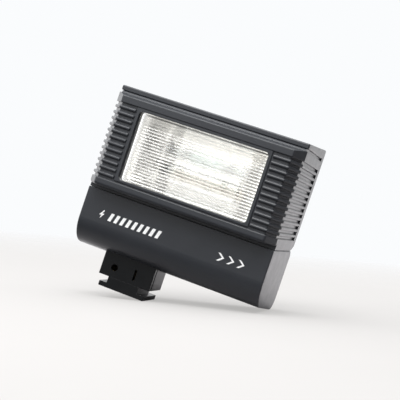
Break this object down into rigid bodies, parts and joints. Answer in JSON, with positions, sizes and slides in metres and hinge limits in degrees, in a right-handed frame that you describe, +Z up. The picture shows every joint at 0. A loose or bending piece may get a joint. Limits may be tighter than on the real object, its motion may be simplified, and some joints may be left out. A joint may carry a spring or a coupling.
{
  "type": "electronic flash unit",
  "caption": "Compact battery-powered camera flash with a ribbed front frame, a wide prismatic window, an offset accessory-shoe foot and simple rear controls.",
  "frame": {"origin": "middle of the accessory-shoe foot's underside", "axes": "+Z up through the foot into the body, -Y the way the light shines and the foot slides into a shoe, +X towards the longer side of the body"},
  "size_m": [0.0734, 0.0466, 0.076],
  "materials": {
    "case_plastic": "satin moulded with a very fine texture",
    "foot_plastic": "satin moulded",
    "diffuser_plastic": "clear with fine prisms",
    "inner_plastic": "plain moulded",
    "dark_steel": "black oxide",
    "plain_steel": "nickel plated",
    "contact_brass": "plated, slightly worn",
    "cell_jacket": "plain printed jacket, no lettering",
    "reflector_sheet": "polished",
    "tube_glass": "clear",
    "silicone": "soft, milky",
    "wire_sleeve": "smooth",
    "board_laminate": "paper laminate with solder lands",
    "capacitor_sleeve": "shrink sleeve",
    "ferrite_core": "matte ferrite with a taped winding",
    "coil_copper": "enamelled copper winding",
    "component_body": "lacquered",
    "knob_plastic": "satin, ribbed",
    "button_plastic": "smooth",
    "lens_plastic": "clear amber",
    "scale_plate": "anodised, with pale scale lines",
    "dial_plastic": "satin with pale numbers",
    "rivet_metal": "spun"
  },
  "bodies": {
    "flash_body": {"lower_case": "case_plastic", "head_shell": "case_plastic", "bezel": "case_plastic", "rear_cover": "case_plastic", "foot_block": "foot_plastic", "foot_front_plate": "foot_plastic", "shoe_plate": "foot_plastic", "diffuser": "diffuser_plastic", "battery_tray": "inner_plastic", "switch_body": "inner_plastic", "trigger_capacitor": "inner_plastic", "power_transistor": "inner_plastic", "rear_cover_screws": "dark_steel", "shoe_screws": "dark_steel", "case_screws": "plain_steel", "board_screws": "plain_steel", "door_hinge_pin": "plain_steel", "contact_spring": "plain_steel", "battery_springs": "plain_steel", "battery_contacts": "plain_steel", "trigger_wire": "plain_steel", "tube_electrodes": "plain_steel", "test_contacts": "plain_steel", "sync_socket_sleeve": "contact_brass", "sync_socket_blade": "contact_brass", "battery_cells": "cell_jacket", "reflector": "reflector_sheet", "flash_tube": "tube_glass", "neon_lamp": "tube_glass", "tube_sleeves": "silicone", "tube_leads": "wire_sleeve", "lead_wires": "wire_sleeve", "circuit_board": "board_laminate", "control_board": "board_laminate", "main_capacitor": "capacitor_sleeve", "transformer": "ferrite_core", "trigger_coil": "coil_copper", "resistors": "component_body", "rectifier_diode": "component_body", "ready_lamp_lens": "lens_plastic", "calculator_plate": "scale_plate", "dial_hub": "rivet_metal"},
    "battery_door": {"battery_door": "case_plastic"},
    "power_switch": {"power_switch_knob": "knob_plastic"},
    "test_button": {"test_button": "button_plastic"},
    "shoe_contact": {"shoe_contact_pin": "contact_brass"},
    "calculator_dial": {"calculator_dial": "dial_plastic"}
  },
  "joints": [
    {"name": "battery_door_hinge", "type": "hinge", "parent": "flash_body", "child": "battery_door", "pos_m": [0.01475, 0.023, 0.0172], "axis": [-1, 0, 0], "range_deg": [0, 90]},
    {"name": "power_switch_slide", "type": "slide", "parent": "flash_body", "child": "power_switch", "axis": [1, 0, 0], "range_m": [0, 0.004]},
    {"name": "test_button_push", "type": "slide", "parent": "flash_body", "child": "test_button", "axis": [0, -1, 0], "range_m": [0, 0.0008]},
    {"name": "shoe_contact_push", "type": "slide", "parent": "flash_body", "child": "shoe_contact", "axis": [0, 0, 1], "range_m": [0, 0.0005], "deforming": ["contact_spring"]},
    {"name": "calculator_dial_turn", "type": "hinge", "parent": "flash_body", "child": "calculator_dial", "pos_m": [0.026, 0.0265, 0.0484], "axis": [0, 1, 0], "continuous": true}
  ]
}
